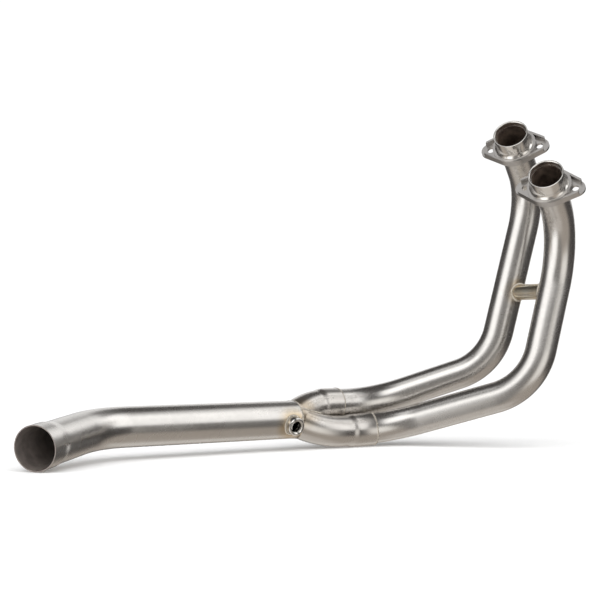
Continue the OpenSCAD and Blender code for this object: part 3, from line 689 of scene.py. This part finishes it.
def panel(under, left, right, bottom, top, colour, soft):
    """Lays one panel over what is there already.
    Its sides are azimuths, counted from the camera to the right, and elevations."""
    window = edge(azimuth, left, soft)
    for value, at, flip in ((azimuth, right, True), (height, bottom, False), (height, top, True)):
        side = edge(value, at, soft)
        if flip:
            side = put(tree, "ShaderNodeMath", {0: 1.0, 1: side}, operation="SUBTRACT").outputs[0]
        window = put(tree, "ShaderNodeMath", {0: window, 1: side}, operation="MULTIPLY").outputs[0]
    return put(tree, "ShaderNodeMix", {0: window, 6: under, 7: colour + (1,)}, data_type="RGBA").outputs[2]


seen_room = (0.085, 0.08, 0.078, 1)
# left, right, bottom and top in degrees, colour, softness in degrees; a later panel covers an earlier one
ROOM = {
    "shaded sheet": (-200, 200, -100, -7, (0.46, 0.415, 0.37), 4),
    "lit sheet under": (-200, 200, -100, -66, (0.68, 0.64, 0.6), 8),
    "lit sheet behind": (140, 200, -70, -40, (0.8, 0.77, 0.73), 8),
    "lit sheet behind, left": (-200, -150, -70, -40, (0.8, 0.77, 0.73), 8),
    "dark side": (58, 162, -29, 16, (0.075, 0.07, 0.068), 7),
    "dark side, left": (-204, -100, -34, 16, (0.085, 0.08, 0.078), 7),
    "far light": (144, 176, -13, 8, (1.15, 1.13, 1.1), 6),
    "left panel": (-84, -34, -66, 40, (1.65, 1.65, 1.65), 13),
    "camera side": (-28, 6, -62, 16, (0.27, 0.26, 0.25), 10),
    "front sheet": (14, 56, -28, 10, (1.2, 1.18, 1.14), 10),
    "right panel": (62, 128, 20, 58, (1.75, 1.75, 1.75), 11),
    "right panel, low": (58, 98, 7, 34, (1.6, 1.6, 1.6), 5),
    "high front panel": (-44, 24, 24, 62, (1.9, 1.9, 1.9), 9),
    "outlet panel": (126, 160, 22, 42, (1.3, 1.3, 1.3), 6),
    "backdrop": (150, 200, 1, 36, (1.05, 1.05, 1.05), 5),
    "backdrop, left": (-200, -166, 1, 36, (1.05, 1.05, 1.05), 5),
    "top panel": (-92, -42, 56, 82, (1.0, 1.0, 1.0), 8)}
for name, (left, right, bottom, top, colour, soft) in ROOM.items():
    seen_room = panel(seen_room, left, right, bottom, top, colour, soft)
rays = put(tree, "ShaderNodeLightPath")
room = put(tree, "ShaderNodeBackground", {"Color": seen_room, "Strength": 1.0})
dome = put(tree, "ShaderNodeBackground", {"Color": (1, 1, 1, 1), "Strength": DOME})
seen = put(tree, "ShaderNodeBackground", {"Color": (1, 1, 1, 1), "Strength": BACKDROP})
lit = put(tree, "ShaderNodeMixShader", {0: rays.outputs["Is Glossy Ray"], 1: dome.outputs[0], 2: room.outputs[0]})
both = put(tree, "ShaderNodeMixShader", {0: rays.outputs["Is Camera Ray"], 1: lit.outputs[0], 2: seen.outputs[0]})
put(tree, "ShaderNodeOutputWorld", {0: both.outputs[0]})
print("mirrored studio:", ", ".join(ROOM))

# %% Lamp
SUN_HEIGHT = math.radians(32)
sky = bpy.data.lights.new("sky", "SUN")
sky.energy, sky.angle = 4.2, math.radians(120)
sky_lamp = bpy.data.objects.new("sky", sky)
bpy.context.scene.collection.objects.link(sky_lamp)
sky_lamp.visible_glossy = False
shine = FORWARD * math.cos(SUN_HEIGHT) - Vector((0, 0, math.sin(SUN_HEIGHT)))
sky_lamp.rotation_euler = shine.to_track_quat("-Z", "Y").to_euler()
print("lamp:", sky_lamp.name, "with strength", round(sky.energy, 2))

# %% Camera
SENSOR_WIDTH, FOCAL_PX, PICTURE_PX = 36.0, 1299.2, 600
camera_data = bpy.data.cameras.new("camera")
camera = bpy.data.objects.new("camera", camera_data)
bpy.context.scene.collection.objects.link(camera)
camera_data.sensor_width = SENSOR_WIDTH
camera_data.lens = SENSOR_WIDTH * FOCAL_PX / PICTURE_PX
camera.location = (-0.586, -1.360, 0.128)
camera.rotation_euler = Vector((0.571, 0.821, 0.026)).to_track_quat("-Z", "Y").to_euler()
camera_data.clip_start, camera_data.clip_end = 0.05, 100
bpy.context.scene.camera = camera
bpy.context.scene.view_settings.view_transform = "Standard"
print("camera at", tuple(round(c, 3) for c in camera.location))
